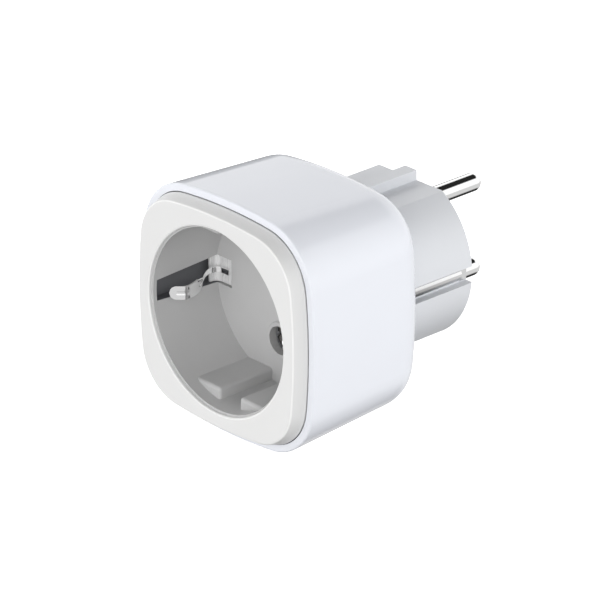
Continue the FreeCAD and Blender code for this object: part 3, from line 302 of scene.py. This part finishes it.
def sheet_strip(name, side, ctrl, width, raised=None, step=0.22, columns=8):
    """A strip of bent sheet.  ctrl is its middle line as (distance from the
    middle of the socket, depth) in mm, width(s, total) its half-width, raised
    (s, z) how far a pressed bead lifts its face; side is -1 for the left."""
    pts = smooth_path(ctrl, step)
    run = [0.0]
    for a, b in zip(pts, pts[1:]):
        run.append(run[-1] + (b - a).length)
    rows = []
    bm = bmesh.new()
    for i, p in enumerate(pts):
        t = (pts[min(i + 1, len(pts) - 1)] - pts[max(i - 1, 0)]).normalized()
        nrm = Vector((-t.y, t.x))
        hw = width(run[i], run[-1])
        row = []
        for j in range(-columns, columns + 1):
            z = hw * j / columns
            q = p + nrm * (raised(run[i], run[-1], z) if raised else 0.0)
            row.append(bm.verts.new((side * q.x * MM, DEPTH0 + q.y * MM, z * MM)))
        rows.append(row)
    for r0, r1 in zip(rows, rows[1:]):
        for j in range(len(r0) - 1):
            quad = (r0[j], r0[j + 1], r1[j + 1], r1[j])
            bm.faces.new(quad if side > 0 else quad[::-1])
    bmesh.ops.remove_doubles(bm, verts=bm.verts, dist=2e-6)
    for f in bm.faces:
        f.smooth = True
    return bm


def sheet_piece(name, parts, thick, node, slot):
    """One piece out of several strips, given its sheet thickness and eased edges."""
    me = bpy.data.meshes.new(name)
    whole = bmesh.new()
    for k, bm in enumerate(parts):
        for f in bm.faces:
            f.material_index = k
        tmp = bpy.data.meshes.new("tmp")
        bm.to_mesh(tmp)
        whole.from_mesh(tmp)
        bpy.data.meshes.remove(tmp)
        bm.free()
    whole.to_mesh(me)
    whole.free()
    o = bpy.data.objects.new(name, me)
    scene.collection.objects.link(o)
    me.materials.append(MATS[slot])
    me.materials.append(EARTH_PLATE)
    m = o.modifiers.new("sheet", "SOLIDIFY")
    m.thickness = thick * MM
    m.offset = 0.0
    m.use_even_offset = True
    m = o.modifiers.new("eased_edges", "BEVEL")
    m.width = 0.09 * MM
    m.segments = 2
    m.limit_method = "ANGLE"
    m.angle_limit = math.radians(50)
    m.harden_normals = False
    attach(o, "housing")
    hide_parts(node)
    return o


def clip_width(s, total):
    left = total - s                      # along the strip from the tip
    r = 1.45
    if left < r:
        return max(0.06, math.sqrt(max(0.0, r * r - (r - left) ** 2)))
    if left < 7.2:
        return r
    if left < 11.2:
        k = (left - 7.2) / 4.0
        k = k * k * (3 - 2 * k)
        return r + (0.58 - r) * k
    return 0.58


def clip_bead(s, total, z):
    left = total - s
    k = min(1.0, max(0.0, (left - 0.9) / 0.5)) * min(1.0, max(0.0, (11.5 - left) / 1.5))
    return 0.10 * k * math.exp(-(z / 0.42) ** 2)


EARTH_PLATE = metal("earth_plate", (0.96, 0.96, 0.96), 0.30, metallic=0.2, spread=0.06, stretch=(1.0, 1.0, 0.1), scale=4200.0, stain=0.05)
CLIP = [(16.0, 18.30), (18.2, 18.25), (19.35, 17.1), (19.35, 15.2), (18.3, 13.3), (16.5, 11.1), (15.3, 8.8),
        (14.75, 7.1), (14.62, 6.0), (14.75, 5.2), (15.3, 4.5), (16.95, 2.95)]
PLATE = [(20.3, 16.7), (20.3, 17.2), (20.0, 18.0), (19.2, 18.65), (18.3, 18.85), (17.3, 18.87), (15.4, 18.87)]
for side, tag in ((-1, "left"), (1, "right")):
    tongue = sheet_strip("tongue", side, CLIP, clip_width, clip_bead)
    plate = sheet_strip("plate", side, PLATE, lambda s, t: 2.92)
    sheet_piece("earth_spring_" + tag, [tongue, plate], 0.45, "earth_clip_" + tag, "earth_steel")

# ------------------------------------------------------------------ stage and light
z0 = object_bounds()[0].z
bm = bmesh.new()
bmesh.ops.create_grid(bm, x_segments=24, y_segments=24, size=3.0)
me = bpy.data.meshes.new("floor")
bm.to_mesh(me)
bm.free()
floor = bpy.data.objects.new("floor", me)
floor.location = (0, 0, z0 - 0.0002)
scene.collection.objects.link(floor)
f = Tree("floor")
f.link(f.ramp(f.noise(3.0, 3.0), [(0.3, (0.90, 0.90, 0.90)), (0.7, (0.92, 0.92, 0.92))]), f.b.inputs["Base Color"])
f.set(Roughness=0.9)
f.b.inputs["Emission Color"].default_value = (1, 1, 1, 1)
f.b.inputs["Emission Strength"].default_value = 0.80
me.materials.append(f.mat)
floor.visible_diffuse = False
floor.visible_glossy = False

world = bpy.data.worlds.new("studio")
scene.world = world
world.use_nodes = True
wt = world.node_tree
wt.nodes.clear()
wo = wt.nodes.new("ShaderNodeOutputWorld")
bg = wt.nodes.new("ShaderNodeBackground")
tc = wt.nodes.new("ShaderNodeTexCoord")
sx = wt.nodes.new("ShaderNodeSeparateXYZ")
mr = wt.nodes.new("ShaderNodeMapRange")
cr = wt.nodes.new("ShaderNodeValToRGB")
mr.inputs["From Min"].default_value = -1.0
mr.inputs["From Max"].default_value = 1.0
wt.links.new(tc.outputs["Generated"], sx.inputs[0])
wt.links.new(sx.outputs["Z"], mr.inputs["Value"])
wt.links.new(mr.outputs["Result"], cr.inputs["Fac"])
MIX = {"sky_low": 0.02, "sky_under": 0.71, "sky_mid": 1.13, "key_front": 0.74, "front_right": 0.66, "side_right": 0.02,
       "overhead": 0.10, "left_top": 2.08, "back_right": 1.35}
SKY = [(0.0, "sky_low"), (0.13, "sky_low"), (0.17, "sky_under"), (0.40, "sky_under"), (0.46, "sky_mid"), (0.805, "sky_mid"),
       (0.83, "sky_low"), (1.0, "sky_low")]
e = cr.color_ramp.elements
e[0].position, e[0].color = SKY[0][0], (MIX[SKY[0][1]],) * 3 + (1.0,)
e[1].position, e[1].color = SKY[-1][0], (MIX[SKY[-1][1]],) * 3 + (1.0,)
for p, v in SKY[1:-1]:
    e.new(p).color = (MIX[v], MIX[v], MIX[v], 1.0)
# a dark flag stands behind and to the left, which gives the bright metal an edge
FLAG = Vector((-0.80, 0.58, -0.06)).normalized()
dp = wt.nodes.new("ShaderNodeVectorMath")
dp.operation = "DOT_PRODUCT"
dp.inputs[1].default_value = FLAG
wt.links.new(tc.outputs["Generated"], dp.inputs[0])
fr = wt.nodes.new("ShaderNodeMapRange")
fr.inputs["From Min"].default_value = math.cos(math.radians(11))
fr.inputs["From Max"].default_value = math.cos(math.radians(9))
fr.inputs["To Min"].default_value = 1.0
fr.inputs["To Max"].default_value = 0.06
wt.links.new(dp.outputs["Value"], fr.inputs["Value"])
ml = wt.nodes.new("ShaderNodeVectorMath")
ml.operation = "SCALE"
wt.links.new(cr.outputs["Color"], ml.inputs[0])
wt.links.new(fr.outputs["Result"], ml.inputs["Scale"])
wt.links.new(ml.outputs["Vector"], bg.inputs["Color"])
bg.inputs["Strength"].default_value = 1.0
wt.links.new(bg.outputs["Background"], wo.inputs["Surface"])


def softbox(name, at, aim, size, power, colour=(1, 1, 1), size_y=None, glossy=True):
    d = bpy.data.lights.new(name, "AREA")
    d.shape = "RECTANGLE"
    d.size = size
    d.size_y = size_y or size
    d.energy = power * MIX[name]
    d.color = colour
    o = bpy.data.objects.new(name, d)
    o.location = at
    o.rotation_mode = "QUATERNION"
    o.rotation_quaternion = (Vector(aim) - Vector(at)).to_track_quat("-Z", "Y")
    scene.collection.objects.link(o)
    o.visible_glossy = glossy
    return o


AIM = (0.0, -0.02, 0.0)
softbox("key_front", (0.10, -1.25, 0.20), AIM, 0.9, 3.0)
softbox("side_right", (1.25, 0.10, 0.10), AIM, 0.9, 3.0, (0.97, 0.985, 1.0), glossy=False)
softbox("front_right", (0.92, -0.88, 0.30), AIM, 0.7, 3.0)
softbox("overhead", (0.0, 0.0, 1.3), AIM, 1.0, 3.0, glossy=False)
softbox("left_top", (-1.15, -0.1, 0.75), AIM, 0.8, 3.0, glossy=False)
softbox("back_right", (0.9, 0.95, 0.35), AIM, 0.8, 3.0, (0.97, 0.985, 1.0), glossy=False)
